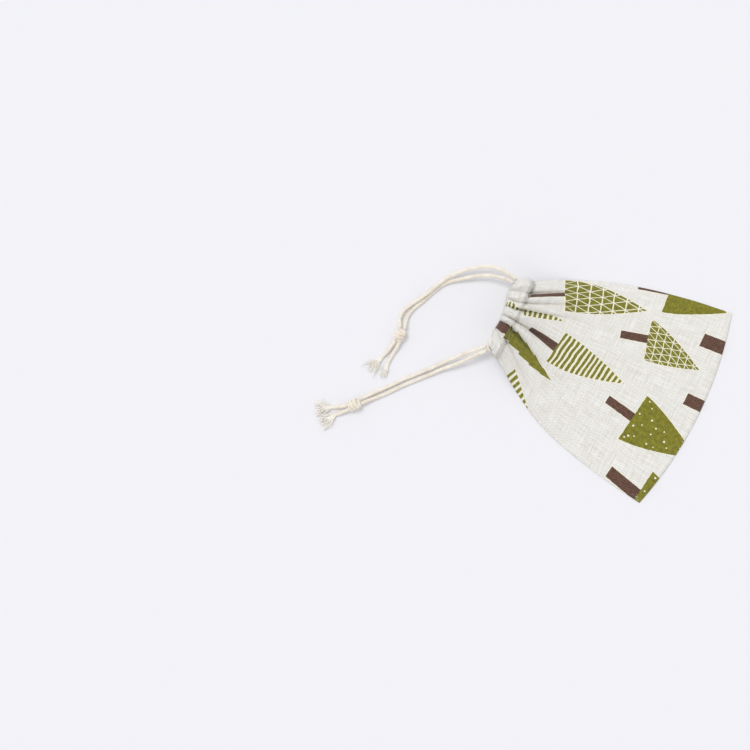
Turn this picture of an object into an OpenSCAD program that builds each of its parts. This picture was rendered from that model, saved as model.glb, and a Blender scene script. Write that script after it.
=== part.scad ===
// Drawstring gift pouch, drawn shut and lying on its back panel.
// +X is to its right, +Y towards its mouth, +Z up, and all sizes are in millimetres.
// The origin is on the surface it lies on, under the middle of the cloth bag.

/* [Bag] */
// Width of the finished bag between its bottom corners
bag_w = 140; // [110:1:180]
// Length of the drawn bag, from the bottom fold to the mouth edge
bag_l = 149; // [120:1:190]
// Thickness of the cloth
cloth_t = 0.6; // [0.4:0.1:0.9]
// How far the bottom fold bows out past the bottom corners
bottom_bow = 9.5; // [4:0.5:16]

/* [Neck] */
// Width of the gathered cloth just below the channel
gather_w = 62; // [54:1:76]
// Width of the channel at its tightest place
throat_w = 42; // [36:1:50]
// How far the channel's tightest place sits to the right of the middle
throat_shift = 2.5; // [0:0.5:4]
// Depth of the channel from its stitching to the mouth edge
channel_l = 14.5; // [12:0.5:20]
// Free height inside the drawn mouth
mouth_gap = 5; // [4.5:0.1:8]

/* [Cord] */
// Thickness of the twisted cord
cord_d = 2.4; // [1.6:0.1:2.5]
// Play round two crossing cords inside a channel
channel_play = 0.4; // [0.2:0.1:1]
// Length of a frayed end
fray_l = 9; // [5:0.5:12]
// Width of a frayed end at its tip
fray_d = 5.2; // [3.5:0.1:6]

/* [Sewing] */
// Width of the seam allowance inside each side
allowance_w = 8; // [5:0.5:10]
// Length of one stitch
stitch_l = 2.2; // [1.2:0.1:2.6]
// Distance from one stitch to the next
stitch_pitch = 3; // [2.8:0.1:5]
// Thickness of the sewing thread
thread_d = 0.3; // [0.2:0.05:0.5]
// Distance of the stitching from the edge that it holds
stitch_in = 1.2; // [1:0.1:2]

/* [Hidden] */

linen = "#E8E6E2";
cotton = "#EFE6DC";
thread = "#F7F5F0";

eps = 0.01;
// Heights of the layers at the neck, from the table up
channel_h = 2 * cord_d + channel_play + 2 * cloth_t;
front_channel_z = channel_h + mouth_gap;
neck_h = front_channel_z + channel_h;
// Places along the bag
mouth_y = bag_l / 2;
hem_y = mouth_y - channel_l;
corner_y = bottom_bow - bag_l / 2;
// Heights at the rim, where the two panels are folded and sewn together
allowance_z = cloth_t + 0.2;
allowance_h = 1;
rim_z = allowance_z + allowance_h + thread_d + 0.1;
// How fast the sides spread below the neck, and how the gathers crown
spread_power = 1.85;
crown_power = 2.6;
// Grid of the crowned front panel
across = 28;
along = 20;
cord_sides = 8;

// Routes of the cords, chosen by hand. Each starts where the one before it ends.
// They were chosen for a mouth edge, a channel and a mouth of these sizes.
chosen_mouth_y = 74.5;
chosen_channel_h = 6.4;
chosen_gap = 5;
right_in_channel = [[26.3, 71.6, 9.1], [26.8, 71, 9.4], [27, 70.3, 10.4], [26.5, 69.8, 11.9],
    [24.8, 69.7, 13.1], [23, 69.6, 13.3], [18, 69.5, 13.3], [9, 68.5, 13.3], [-2, 67.2, 13.3],
    [-14, 66, 13.3], [-19.4, 65.9, 13.3], [-21.4, 65.8, 12.2], [-22.3, 65.8, 10.6],
    [-22.6, 65.8, 8.9], [-22.3, 65.8, 7.2], [-21.4, 65.8, 5.6], [-19.4, 65.9, 4.5],
    [-14, 66, 4.5], [-2, 67.2, 4.5], [9, 68.5, 4.5], [18, 69.5, 4.4], [22, 69.9, 4.3],
    [24.2, 70.1, 4.5], [25.4, 70.7, 5.6], [25.4, 71.4, 7.2], [24.4, 71.8, 8.4], [23.7, 72.2, 8.8]];
left_in_channel = [[-20.9, 70.8, 9.1], [-20.1, 70, 9.6], [-19.9, 69.9, 11.2], [-19.9, 69.9, 13],
    [-18.5, 70, 14.8], [-14, 70, 15.9], [-2, 68.6, 15.9], [9, 67.2, 15.9], [18, 66, 15.6],
    [23.5, 66, 14.6], [27.5, 66, 12.6], [29.2, 66, 8.9], [27.5, 66, 5.2],
    [23.5, 66, 3], [18, 66, 2.1], [9, 67.2, 1.9], [-2, 68.6, 1.9], [-14, 69.6, 1.9],
    [-18.5, 69.4, 2.4], [-20.6, 69.1, 3.4], [-21.8, 68.6, 5.2], [-22.1, 68.2, 7.2],
    [-22.5, 68.3, 8.7], [-23.2, 69, 9]];
right_upper = [[26.4, 72.6, 9], [27.2, 78.5, 9.2], [27.5, 85, 9], [26.5, 91, 8.4],
    [24, 96.5, 7.4], [20.5, 101.5, 6.4], [17, 106, 5.4], [12.5, 110, 4.6], [8, 113.5, 4.2],
    [3, 116.5, 4], [-2.5, 119, 4], [-8, 121.5, 3.8], [-13.5, 124.5, 3.2], [-18.5, 127.5, 2.4],
    [-24, 130, 1.8], [-30, 130, 2.4], [-35, 127.2, 3.8]];
right_lower = [[23.6, 73.3, 9], [23.6, 79, 9], [22.4, 85, 8.4], [20.5, 91, 7.2], [17.5, 96.5, 5.8],
    [14, 101.5, 4.4], [10.5, 106, 3], [7, 110.5, 1.8], [2.5, 114.5, 1.3], [-3, 117.5, 1.3],
    [-8.5, 119.8, 1.3], [-14, 122, 1.3], [-19.5, 124.5, 1.3], [-25, 126, 1.6],
    [-30.5, 125.6, 2.6], [-35, 124, 3.8]];
left_upper = [[-21.3, 71.2, 9], [-26, 75.8, 8.6], [-30.5, 80.5, 7.6], [-35.5, 85, 6],
    [-40.5, 89.5, 4.4], [-45.5, 93.5, 3], [-50.5, 97.5, 1.9], [-55.5, 102, 1.3],
    [-60, 106, 1.3], [-65, 110.5, 1.3], [-70, 114.5, 1.3], [-75, 118.5, 1.3],
    [-80, 122.8, 1.5], [-85, 127, 2.4], [-89.4, 131, 3.8]];
left_lower = [[-23.8, 69.6, 9], [-28.5, 74, 8.6], [-33.5, 78, 7.4], [-38.5, 82, 5.8],
    [-43.5, 86.5, 4.2], [-48, 91, 2.8], [-53, 95, 1.8], [-58, 99.5, 1.3],
    [-62.5, 103.5, 1.3], [-67.5, 108, 1.3], [-72.5, 112, 1.3], [-77.5, 116, 1.3],
    [-82.5, 120.4, 1.5], [-87, 124.6, 2.4], [-91.2, 128.4, 3.8]];
right_long_tail = [[-43.6, 126.4, 3.8], [-48, 127, 2.6], [-53, 127.8, 1.5], [-58, 129.5, 1.3],
    [-62, 131, 1.4]];
right_short_tail = [[-43.6, 123.6, 3.8], [-48, 123.5, 2.6], [-53, 124, 1.5], [-58, 124.2, 1.3],
    [-63.5, 124, 1.4]];
left_long_tail = [[-96.2, 135.6, 3.8], [-99, 139.5, 2.6], [-101.5, 143.5, 1.5], [-103.5, 147, 1.4]];
left_short_tail = [[-98.2, 133.8, 3.8], [-101.5, 136.8, 2.6], [-105, 139.8, 1.5],
    [-108, 142, 1.4]];

// Where a knot sits, and which way it lies
right_knot_at = [-39.6, 125.3, 4];
right_knot_turn = 176;
left_knot_at = [-93.9, 132.2, 4];
left_knot_turn = 137;

// Half the bag's width at a share q of the way from the channel's stitching to the corners
function half_width(q) =
    gather_w / 2 + (bag_w - gather_w) / 2 * (1 - pow(1 - q, spread_power));

// The bottom fold bows out past the corners, most in the middle, where t is 0
function bottom_y(t) = corner_y - bottom_bow * (1 - t * t);

// A place on the bag: t runs from -1 at the left side to 1 at the right
function cloth_xy(t, q) = [t * half_width(q), hem_y + (bottom_y(t) - hem_y) * q];

// Height of the front panel's inner face: high at the neck, flat towards the bottom fold
function crown(t, q) =
    (neck_h - cloth_t - rim_z) * pow(1 - q, 0.8) * pow(1 - pow(abs(t), crown_power), 0.7);

function inner_z(t, q) = (abs(t) > 1 - eps || q > 1 - eps) ? cloth_t : rim_z + crown(t, q);
function outer_z(t, q) = rim_z + cloth_t + crown(t, q);

// Shares of the way across and along, with a narrow last step at each rim
function share_across(i) =
    i == 0 ? -1 : i == across ? 1 : (2 * (i - 1) / (across - 2) - 1) * (1 - 2 / bag_w);
function share_along(j) = j == along ? 1 : (1 - 1.5 / bag_l) * j / (along - 1);

function outline(inset) = [
    for (j = [0:along]) cloth_xy(1, j / along) - [inset, 0],
    for (i = [1:across - 1]) cloth_xy(1 - 2 * i / across, 1),
    for (j = [0:along]) cloth_xy(-1, 1 - j / along) + [inset, 0]];

// A route's place moved to fit the bag's own sizes: along with the mouth edge, and up or down
// with the back channel, the mouth between the channels, or the front channel
function fitted_z(z) =
    let (front_z = chosen_channel_h + chosen_gap)
    z < chosen_channel_h ? z * channel_h / chosen_channel_h
    : z < front_z ? channel_h + (z - chosen_channel_h) * mouth_gap / chosen_gap
    : front_channel_z + (z - front_z) * channel_h / chosen_channel_h;
function fitted_at(p) = [p[0], p[1] + mouth_y - chosen_mouth_y, fitted_z(p[2])];
function fitted(route) = [for (p = route) fitted_at(p)];

// Directions used to sweep a round cord along its route
function unit(v) = v / norm(v);
function way(p, i) = unit(p[min(i + 1, len(p) - 1)] - p[max(i - 1, 0)]);

// Plain round cord swept along a route: one ring of points at each place on it
module cord(chosen, ref) {
    route = fitted(chosen);
    n = len(route);
    points = [for (i = [0:n - 1])
        let (side = unit(cross(way(route, i), ref)), up = cross(side, way(route, i)))
        for (k = [0:cord_sides - 1])
            route[i] + cord_d / 2 * (cos(360 * k / cord_sides) * side
                + sin(360 * k / cord_sides) * up)];
    walls = [for (i = [0:n - 2], k = [0:cord_sides - 1])
        let (a = i * cord_sides + k, b = i * cord_sides + (k + 1) % cord_sides)
        [a, b, b + cord_sides, a + cord_sides]];
    first = [for (k = [cord_sides - 1:-1:0]) k];
    last = [for (k = [0:cord_sides - 1]) (n - 1) * cord_sides + k];
    polyhedron(points, concat([first], walls, [last]), convexity = 6);
}

// The crowned front cloth, from the channel's stitching down to the bottom fold
module front_panel() {
    wide = across + 1;
    half = wide * (along + 1);
    points = [for (side = [0, 1], j = [0:along], i = [0:across])
        let (t = share_across(i), q = share_along(j), at = cloth_xy(t, q))
        [at[0], at[1], side == 0 ? outer_z(t, q) : inner_z(t, q)]];
    top = [for (j = [0:along - 1], i = [0:across - 1])
        let (a = j * wide + i) [a, a + wide, a + wide + 1, a + 1]];
    under = [for (f = top) [f[3] + half, f[2] + half, f[1] + half, f[0] + half]];
    rim = concat(
        [for (i = [0:across - 1]) [i, i + 1, i + 1 + half, i + half]],
        [for (i = [0:across - 1])
            let (a = along * wide + i) [a + 1, a, a + half, a + 1 + half]],
        [for (j = [0:along - 1]) let (a = j * wide) [a + wide, a, a + half, a + wide + half]],
        [for (j = [0:along - 1])
            let (a = j * wide + across) [a, a + wide, a + wide + half, a + half]]);
    // faces are listed anticlockwise, so each is turned to run clockwise seen from outside
    color(linen) polyhedron(points, [for (f = concat(top, under, rim)) [f[3], f[2], f[1], f[0]]],
        convexity = 6);
}

// The flat back cloth that the pouch lies on
module back_panel() {
    color(linen) linear_extrude(cloth_t) polygon(outline(0));
}

// Plan of a gathered channel: wide at its stitching, and cut back at the slits the cords leave by
module channel_plan() {
    middle = throat_shift;
    half = throat_w / 2;
    base = gather_w / 2 - 4;
    slit = 2.5;
    polygon([[-base, hem_y], [base, hem_y], [middle + half + 1, hem_y + channel_l * 0.2],
        [middle + half, hem_y + channel_l * 0.6], [middle + half - slit, mouth_y],
        [middle - half + slit, mouth_y], [middle - half, hem_y + channel_l * 0.6],
        [middle - half - 1, hem_y + channel_l * 0.2]]);
}

// A channel is the panel's own top edge, turned over and stitched down, open at both ends
module channel() {
    difference() {
        linear_extrude(channel_h) channel_plan();
        translate([-bag_w / 2, hem_y + cloth_t + 2 * stitch_in, cloth_t])
            cube([bag_w, channel_l - 2 * cloth_t - 2 * stitch_in, channel_h - 2 * cloth_t]);
    }
}

module front_channel() {
    color(linen) translate([0, 0, front_channel_z]) channel();
}

module back_channel() {
    color(linen) channel();
}

// A straight row of stitches along X, lying on the channel's cloth
module channel_row(z) {
    reach = throat_w / 2;
    count = floor(2 * reach / stitch_pitch);
    for (i = [0:count - 1])
        translate([throat_shift + (i + 0.5 - count / 2) * stitch_pitch - stitch_l / 2,
            hem_y + stitch_in, z])
            cube([stitch_l, thread_d, thread_d]);
}

module front_channel_stitching() {
    color(thread) channel_row(neck_h);
}

module back_channel_stitching() {
    color(thread) channel_row(channel_h);
}

// Turned-in edges of both panels, pressed together inside a side seam
module seam_allowance() {
    outer = [for (j = [0:along]) let (q = 0.985 * j / along) cloth_xy(1, q) - [1, 0]];
    inner = [for (j = [along:-1:0]) let (q = 0.985 * j / along) cloth_xy(1, q) - [1 + allowance_w, 0]];
    translate([0, 0, allowance_z]) linear_extrude(allowance_h) polygon(concat(outer, inner));
}

module right_seam_allowance() {
    color(linen) seam_allowance();
}

module left_seam_allowance() {
    color(linen) mirror([1, 0, 0]) seam_allowance();
}

// One row of lockstitches down a side seam
module seam_row() {
    run = hem_y - corner_y;
    count = floor(run / stitch_pitch) - 2;
    for (i = [0:count - 1]) {
        q = (i + 1.5) / (count + 2);
        here = cloth_xy(1, q);
        next = cloth_xy(1, q + 0.01);
        translate([here[0] - 1 - 2 * stitch_in, here[1], allowance_z + allowance_h])
            rotate([0, 0, atan2(next[1] - here[1], next[0] - here[0])])
                cube([stitch_l, thread_d, thread_d]);
    }
}

module right_seam_stitching() {
    color(thread) seam_row();
}

module left_seam_stitching() {
    color(thread) mirror([1, 0, 0]) seam_row();
}

// A few stitches to and fro that stop the side seam from running open at the cord's slit
module slit_tack() {
    top = cloth_xy(1, 0);
    for (i = [0:2])
        translate([top[0] - 1 - allowance_w * 0.7, top[1] - 1.2 - i * 2 * thread_d,
            allowance_z + allowance_h])
            cube([allowance_w * 0.5, thread_d, thread_d]);
}

module right_slit_tack() {
    color(thread) slit_tack();
}

module left_slit_tack() {
    color(thread) mirror([1, 0, 0]) slit_tack();
}

// Each cord runs once round the mouth inside both channels and leaves by its own side
module right_cord_in_channel() {
    color(cotton) cord(right_in_channel, [1, -1, 1]);
}

module left_cord_in_channel() {
    color(cotton) cord(left_in_channel, [-1, -1, 1]);
}

module right_cord_upper_strand() {
    color(cotton) cord(right_upper, [0, 0, 1]);
}

module right_cord_lower_strand() {
    color(cotton) cord(right_lower, [0, 0, 1]);
}

module left_cord_upper_strand() {
    color(cotton) cord(left_upper, [0, 0, 1]);
}

module left_cord_lower_strand() {
    color(cotton) cord(left_lower, [0, 0, 1]);
}

// Doubled overhand knot of the two strands: a core with two wraps round it
module knot() {
    wrap_r = 2.5;
    rotate([0, 90, 0]) {
        cylinder(h = 7, r = 2.4, center = true, $fn = 48);
        for (side = [-1, 1])
            translate([0, 0, side * cord_d * 0.52])
                rotate_extrude($fn = 48) translate([wrap_r, 0]) circle(d = cord_d, $fn = 32);
    }
}

module right_cord_knot() {
    color(cotton) translate(fitted_at(right_knot_at)) rotate([0, 0, right_knot_turn]) knot();
}

module left_cord_knot() {
    color(cotton) translate(fitted_at(left_knot_at)) rotate([0, 0, left_knot_turn]) knot();
}

module right_cord_long_tail() {
    color(cotton) cord(right_long_tail, [0, 0, 1]);
}

module right_cord_short_tail() {
    color(cotton) cord(right_short_tail, [0, 0, 1]);
}

module left_cord_long_tail() {
    color(cotton) cord(left_long_tail, [0, 0, 1]);
}

module left_cord_short_tail() {
    color(cotton) cord(left_short_tail, [0, 0, 1]);
}

// Frayed end: the cord's yarns spread from the end of a tail, and lie on the table
module fray(chosen) {
    route = fitted(chosen);
    end = route[len(route) - 1];
    before = route[len(route) - 2];
    turn = atan2(end[1] - before[1], end[0] - before[0]);
    rise = atan2(fray_d / 2 - cord_d / 2, fray_l);
    translate(end) rotate([0, 90 - rise, turn])
        translate([0, 0, 0.1]) cylinder(h = fray_l, d1 = cord_d, d2 = fray_d, $fn = 32);
}

module right_cord_long_fray() {
    color(cotton) fray(right_long_tail);
}

module right_cord_short_fray() {
    color(cotton) fray(right_short_tail);
}

module left_cord_long_fray() {
    color(cotton) fray(left_long_tail);
}

module left_cord_short_fray() {
    color(cotton) fray(left_short_tail);
}

front_panel();
back_panel();
front_channel();
back_channel();
front_channel_stitching();
back_channel_stitching();
right_seam_allowance();
left_seam_allowance();
right_seam_stitching();
left_seam_stitching();
right_slit_tack();
left_slit_tack();
right_cord_in_channel();
left_cord_in_channel();
right_cord_upper_strand();
right_cord_lower_strand();
left_cord_upper_strand();
left_cord_lower_strand();
right_cord_knot();
left_cord_knot();
right_cord_long_tail();
right_cord_short_tail();
left_cord_long_tail();
left_cord_short_tail();
right_cord_long_fray();
right_cord_short_fray();
left_cord_long_fray();
left_cord_short_fray();
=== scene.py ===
# %% [markdown]
# # A linen gift pouch with drawn cords
# The pouch is one strip of printed cloth, folded at the bottom, sewn up both sides, with its top
# edge turned over into a channel. Two twisted cotton cords run round the mouth inside the channel.
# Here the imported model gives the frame, and every soft piece is made again as a surface.

# %% Load the frame
import bpy
import math
import numpy as np
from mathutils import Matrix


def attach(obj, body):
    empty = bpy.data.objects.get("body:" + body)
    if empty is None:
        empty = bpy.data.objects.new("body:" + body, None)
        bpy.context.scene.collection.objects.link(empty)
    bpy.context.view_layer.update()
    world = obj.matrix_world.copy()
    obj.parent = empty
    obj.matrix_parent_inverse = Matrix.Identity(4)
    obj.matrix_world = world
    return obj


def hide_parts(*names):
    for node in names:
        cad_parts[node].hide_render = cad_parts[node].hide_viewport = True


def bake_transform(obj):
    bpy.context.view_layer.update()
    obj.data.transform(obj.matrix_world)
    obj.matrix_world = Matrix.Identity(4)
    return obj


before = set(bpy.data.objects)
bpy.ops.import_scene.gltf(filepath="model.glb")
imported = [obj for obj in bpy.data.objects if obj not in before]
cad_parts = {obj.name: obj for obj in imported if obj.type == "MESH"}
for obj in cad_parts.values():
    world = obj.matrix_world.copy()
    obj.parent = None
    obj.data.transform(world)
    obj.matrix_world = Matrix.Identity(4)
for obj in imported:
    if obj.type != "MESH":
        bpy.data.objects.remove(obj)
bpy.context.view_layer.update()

MM = 0.001

# %% [markdown]
# ## The camera
# The pouch is seen from straight above, lying askew, so the camera only needs a height, a lens
# and a turn about the vertical. A long lens from 1.2 m keeps the view flat, as in a catalogue.

# %% Camera
VIEW_WIDTH = 0.494
CAMERA_HEIGHT = 1.2
CAMERA_AT = (-0.0704, 0.1284)
CAMERA_TURN = math.radians(-63.9)
SENSOR = 36  # mm

camera_data = bpy.data.cameras.new("camera")
camera_data.sensor_width = SENSOR
camera_data.lens = SENSOR * CAMERA_HEIGHT / VIEW_WIDTH
camera = bpy.data.objects.new("camera", camera_data)
camera.location = (*CAMERA_AT, CAMERA_HEIGHT)
camera.rotation_euler = (0, 0, CAMERA_TURN)
bpy.context.scene.collection.objects.link(camera)
bpy.context.scene.camera = camera
print("lens", round(camera_data.lens, 1), "mm")

# %% [markdown]
# ## Meshes from grids
# Every soft piece here is a grid of points worked out at once with numpy. One helper turns a
# grid into a mesh, with a UV map in metres of real cloth or cord, so that a weave or a twist
# keeps its true size. A second one gives a sheet its two faces and its cut edge.


# %% Grid helpers
def grid_faces(rows, columns, closed=False):
    """Quads between neighbouring rows and columns; closed joins the last column to the first."""
    j, i = np.meshgrid(np.arange(rows - 1), np.arange(columns if closed else columns - 1), indexing="ij")
    k = (i + 1) % columns
    quads = np.stack([j * columns + i, j * columns + k, (j + 1) * columns + k, (j + 1) * columns + i], -1)
    return quads.reshape(-1, 4)


def new_piece(name, points, faces, uv=None, values=None, sharp=None):
    """A mesh object from an array of points in mm and arrays of faces, shaded smooth."""
    mesh = bpy.data.meshes.new(name)
    points = np.asarray(points, float).reshape(-1, 3) * MM
    sizes = np.concatenate([np.full(len(f), f.shape[1]) for f in faces])
    corners = np.concatenate([f.ravel() for f in faces]).astype(np.int32)
    mesh.vertices.add(len(points))
    mesh.vertices.foreach_set("co", points.ravel())
    mesh.loops.add(len(corners))
    mesh.loops.foreach_set("vertex_index", corners)
    mesh.polygons.add(len(sizes))
    mesh.polygons.foreach_set("loop_start", np.concatenate([[0], np.cumsum(sizes)[:-1]]).astype(np.int32))
    mesh.update(calc_edges=True)
    mesh.polygons.foreach_set("use_smooth", np.ones(len(sizes), bool))
    for map_name, places in (uv or {}).items():
        layer = mesh.uv_layers.new(name=map_name)
        layer.data.foreach_set("uv", (np.asarray(places, float).reshape(-1, 2)[corners] * MM).ravel())
    for value_name, numbers in (values or {}).items():
        attribute = mesh.attributes.new(value_name, "FLOAT", "POINT")
        attribute.data.foreach_set("value", np.asarray(numbers, np.float32).ravel())
    if sharp is not None:
        ends = np.zeros(len(mesh.edges) * 2, np.int32)
        mesh.edges.foreach_get("vertices", ends)
        on_rim = sharp[ends.reshape(-1, 2)].all(1)
        mesh.attributes.new("sharp_edge", "BOOLEAN", "EDGE").data.foreach_set("value", on_rim)
    piece = bpy.data.objects.new(name, mesh)
    bpy.context.scene.collection.objects.link(piece)
    print(name, len(points), "points")
    return piece


def normals(grid):
    """Unit normals of a grid of points: the cross product of its two directions."""
    across = np.gradient(grid, axis=1)
    along = np.gradient(grid, axis=0)
    n = np.cross(across, along)
    return n / np.maximum(np.linalg.norm(n, axis=2, keepdims=True), 1e-9)


def sheet_piece(name, grid, thick, uv, values, inward):
    """A thin closed sheet: the outer grid, a copy moved inward by its thickness, and the rim.

    inward is +1 or -1, whichever turns the grid's normal towards the inside of the bag."""
    rows, columns = grid.shape[:2]
    inner = grid + inward * normals(grid) * thick
    count = rows * columns
    faces = grid_faces(rows, columns)
    if inward > 0:
        faces = faces[:, ::-1]
    ring = np.concatenate([np.arange(columns), np.arange(1, rows) * columns + columns - 1,
                           (rows - 1) * columns + np.arange(columns - 2, -1, -1),
                           np.arange(rows - 2, 0, -1) * columns])
    after = np.roll(ring, -1)
    rim = np.stack([after, ring, ring + count, after + count], -1)
    if inward > 0:
        rim = rim[:, ::-1]
    on_rim = np.zeros(2 * count, bool)
    on_rim[ring] = True
    on_rim[ring + count] = True
    twice = {key: np.concatenate([v.reshape(count, -1), v.reshape(count, -1)]) for key, v in uv.items()}
    both = {key: np.concatenate([v.ravel(), v.ravel()]) for key, v in values.items()}
    points = np.concatenate([grid.reshape(-1, 3), inner.reshape(-1, 3)])
    both["inside"] = np.repeat([0.0, 1.0], count)
    return new_piece(name, points, [faces, faces[:, ::-1] + count, rim], twice, both, on_rim)


def smooth_curve(points, count):
    """Catmull-Rom curve through a few points, read at even steps of its length."""
    p = np.asarray(points, float)
    p = np.vstack([2 * p[0] - p[1], p, 2 * p[-1] - p[-2]])
    s = np.linspace(0, len(p) - 3, 40 * len(p))
    i = np.minimum(s.astype(int), len(p) - 4)
    f = (s - i)[:, None]
    a, b, c, d = p[i], p[i + 1], p[i + 2], p[i + 3]
    dense = 0.5 * (2 * b + (c - a) * f + (2 * a - 5 * b + 4 * c - d) * f**2 + (3 * b - a - 3 * c + d) * f**3)
    run = np.concatenate([[0], np.cumsum(np.linalg.norm(np.diff(dense, axis=0), axis=1))])
    even = np.linspace(0, run[-1], count)
    return np.stack([np.interp(even, run, dense[:, k]) for k in range(p.shape[1])], -1), run[-1]


def smooth_step(x, low, high):
    """Rises from 0 at low to 1 at high as f^2 (3 - 2f), level at both ends."""
    f = np.clip((x - low) / (high - low), 0, 1)
    return f * f * (3 - 2 * f)


# %% [markdown]
# ## The cords
# Each cord is a soft, three-strand twist of unbleached cotton, about 2.4 mm thick. It comes out
# of the drawn mouth, droops to the table, and lies there in an easy curve up to its knot. The
# routes are short lists of places, in metres, and the twist is a three-lobed profile that turns
# as it is carried along the route.

# %% Cord routes
CORD_D = 2.4
RIGHT_IN_CHANNEL = [(0.0263, 0.0716, 0.0091), (0.0268, 0.071, 0.0094), (0.027, 0.0703, 0.0104),
    (0.0265, 0.0698, 0.0119), (0.0248, 0.0697, 0.0131), (0.023, 0.0696, 0.0133),
    (0.018, 0.0695, 0.0133), (0.009, 0.0685, 0.0133), (-0.002, 0.0672, 0.0133),
    (-0.014, 0.066, 0.0133), (-0.0194, 0.0659, 0.0133), (-0.0214, 0.0658, 0.0122),
    (-0.0223, 0.0658, 0.0106), (-0.0226, 0.0658, 0.0089), (-0.0223, 0.0658, 0.0072),
    (-0.0214, 0.0658, 0.0056), (-0.0194, 0.0659, 0.0045), (-0.014, 0.066, 0.0045),
    (-0.002, 0.0672, 0.0045), (0.009, 0.0685, 0.0045), (0.018, 0.0695, 0.0044),
    (0.022, 0.0699, 0.0043), (0.0242, 0.0701, 0.0045), (0.0254, 0.0707, 0.0056),
    (0.0254, 0.0714, 0.0072), (0.0244, 0.0718, 0.0084), (0.0237, 0.0722, 0.0088)]
LEFT_IN_CHANNEL = [(-0.0209, 0.0708, 0.0091), (-0.0201, 0.07, 0.0096), (-0.0199, 0.0699, 0.0112),
    (-0.0199, 0.0699, 0.013), (-0.0185, 0.07, 0.0148), (-0.014, 0.07, 0.0159),
    (-0.002, 0.0686, 0.0159), (0.009, 0.0672, 0.0159), (0.018, 0.066, 0.0156),
    (0.0235, 0.066, 0.0146), (0.0275, 0.066, 0.0126), (0.0292, 0.066, 0.0089),
    (0.0275, 0.066, 0.0052), (0.0235, 0.066, 0.003), (0.018, 0.066, 0.0021),
    (0.009, 0.0672, 0.0019), (-0.002, 0.0686, 0.0019), (-0.014, 0.0696, 0.0019),
    (-0.0185, 0.0694, 0.0024), (-0.0206, 0.0691, 0.0034), (-0.0218, 0.0686, 0.0052),
    (-0.0221, 0.0682, 0.0072), (-0.0225, 0.0683, 0.0087), (-0.0232, 0.069, 0.009)]
ROUTES = {
    "right_cord_upper_strand": [(0.0264, 0.0726, 0.009), (0.0272, 0.0785, 0.0092), (0.0275, 0.085, 0.009),
        (0.0265, 0.091, 0.0084), (0.024, 0.0965, 0.0074), (0.0205, 0.1015, 0.0064),
        (0.017, 0.106, 0.0054), (0.0125, 0.11, 0.0046), (0.008, 0.1135, 0.0042),
        (0.003, 0.1165, 0.004), (-0.0025, 0.119, 0.004), (-0.008, 0.1215, 0.0038),
        (-0.0135, 0.1245, 0.0032), (-0.0185, 0.1275, 0.0024), (-0.024, 0.13, 0.0018),
        (-0.03, 0.13, 0.0024), (-0.035, 0.1272, 0.0038)],
    "right_cord_lower_strand": [(0.0236, 0.0733, 0.009), (0.0236, 0.079, 0.009), (0.0224, 0.085, 0.0084),
        (0.0205, 0.091, 0.0072), (0.0175, 0.0965, 0.0058), (0.014, 0.1015, 0.0044),
        (0.0105, 0.106, 0.003), (0.007, 0.1105, 0.0018), (0.0025, 0.1145, 0.0013),
        (-0.003, 0.1175, 0.0013), (-0.0085, 0.1198, 0.0013), (-0.014, 0.122, 0.0013),
        (-0.0195, 0.1245, 0.0013), (-0.025, 0.126, 0.0016), (-0.0305, 0.1256, 0.0026),
        (-0.035, 0.124, 0.0038)],
    "left_cord_upper_strand": [(-0.0213, 0.0712, 0.009), (-0.026, 0.0758, 0.0086),
        (-0.0305, 0.0805, 0.0076), (-0.0355, 0.085, 0.006), (-0.0405, 0.0895, 0.0044),
        (-0.0455, 0.0935, 0.003), (-0.0505, 0.0975, 0.0019), (-0.0555, 0.102, 0.0013),
        (-0.06, 0.106, 0.0013), (-0.065, 0.1105, 0.0013), (-0.07, 0.1145, 0.0013),
        (-0.075, 0.1185, 0.0013), (-0.08, 0.1228, 0.0015), (-0.085, 0.127, 0.0024),
        (-0.0894, 0.131, 0.0038)],
    "left_cord_lower_strand": [(-0.0238, 0.0696, 0.009), (-0.0285, 0.074, 0.0086),
        (-0.0335, 0.078, 0.0074), (-0.0385, 0.082, 0.0058), (-0.0435, 0.0865, 0.0042),
        (-0.048, 0.091, 0.0028), (-0.053, 0.095, 0.0018), (-0.058, 0.0995, 0.0013),
        (-0.0625, 0.1035, 0.0013), (-0.0675, 0.108, 0.0013), (-0.0725, 0.112, 0.0013),
        (-0.0775, 0.116, 0.0013), (-0.0825, 0.1204, 0.0015), (-0.087, 0.1246, 0.0024),
        (-0.0912, 0.1284, 0.0038)],
}
TAILS = {
    "right_cord_long": [(-0.0436, 0.1264, 0.0038), (-0.048, 0.127, 0.0026), (-0.053, 0.1278, 0.0015),
        (-0.058, 0.1295, 0.0013), (-0.062, 0.131, 0.0014)],
    "right_cord_short": [(-0.0436, 0.1236, 0.0038), (-0.048, 0.1235, 0.0026), (-0.053, 0.124, 0.0015),
        (-0.058, 0.1242, 0.0013), (-0.0635, 0.124, 0.0014)],
    "left_cord_long": [(-0.0962, 0.1356, 0.0038), (-0.099, 0.1395, 0.0026), (-0.1015, 0.1435, 0.0015),
        (-0.1035, 0.147, 0.0014)],
    "left_cord_short": [(-0.0982, 0.1338, 0.0038), (-0.1015, 0.1368, 0.0026), (-0.105, 0.1398, 0.0015),
        (-0.108, 0.142, 0.0014)],
}
print(len(ROUTES), "free strands,", len(TAILS), "tails")

# %% Twisted cord
PLY_TURN = 7.5  # length of one full turn of the three plies, in mm
PLY_ROUND = 24  # points round the cord
RINGS_PER_PLACE = 18.9  # rings of points for each place in a strand's route
CHANNEL_RINGS = 700  # rings of points along each cord inside its channel
TAIL_RINGS = 90


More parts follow.
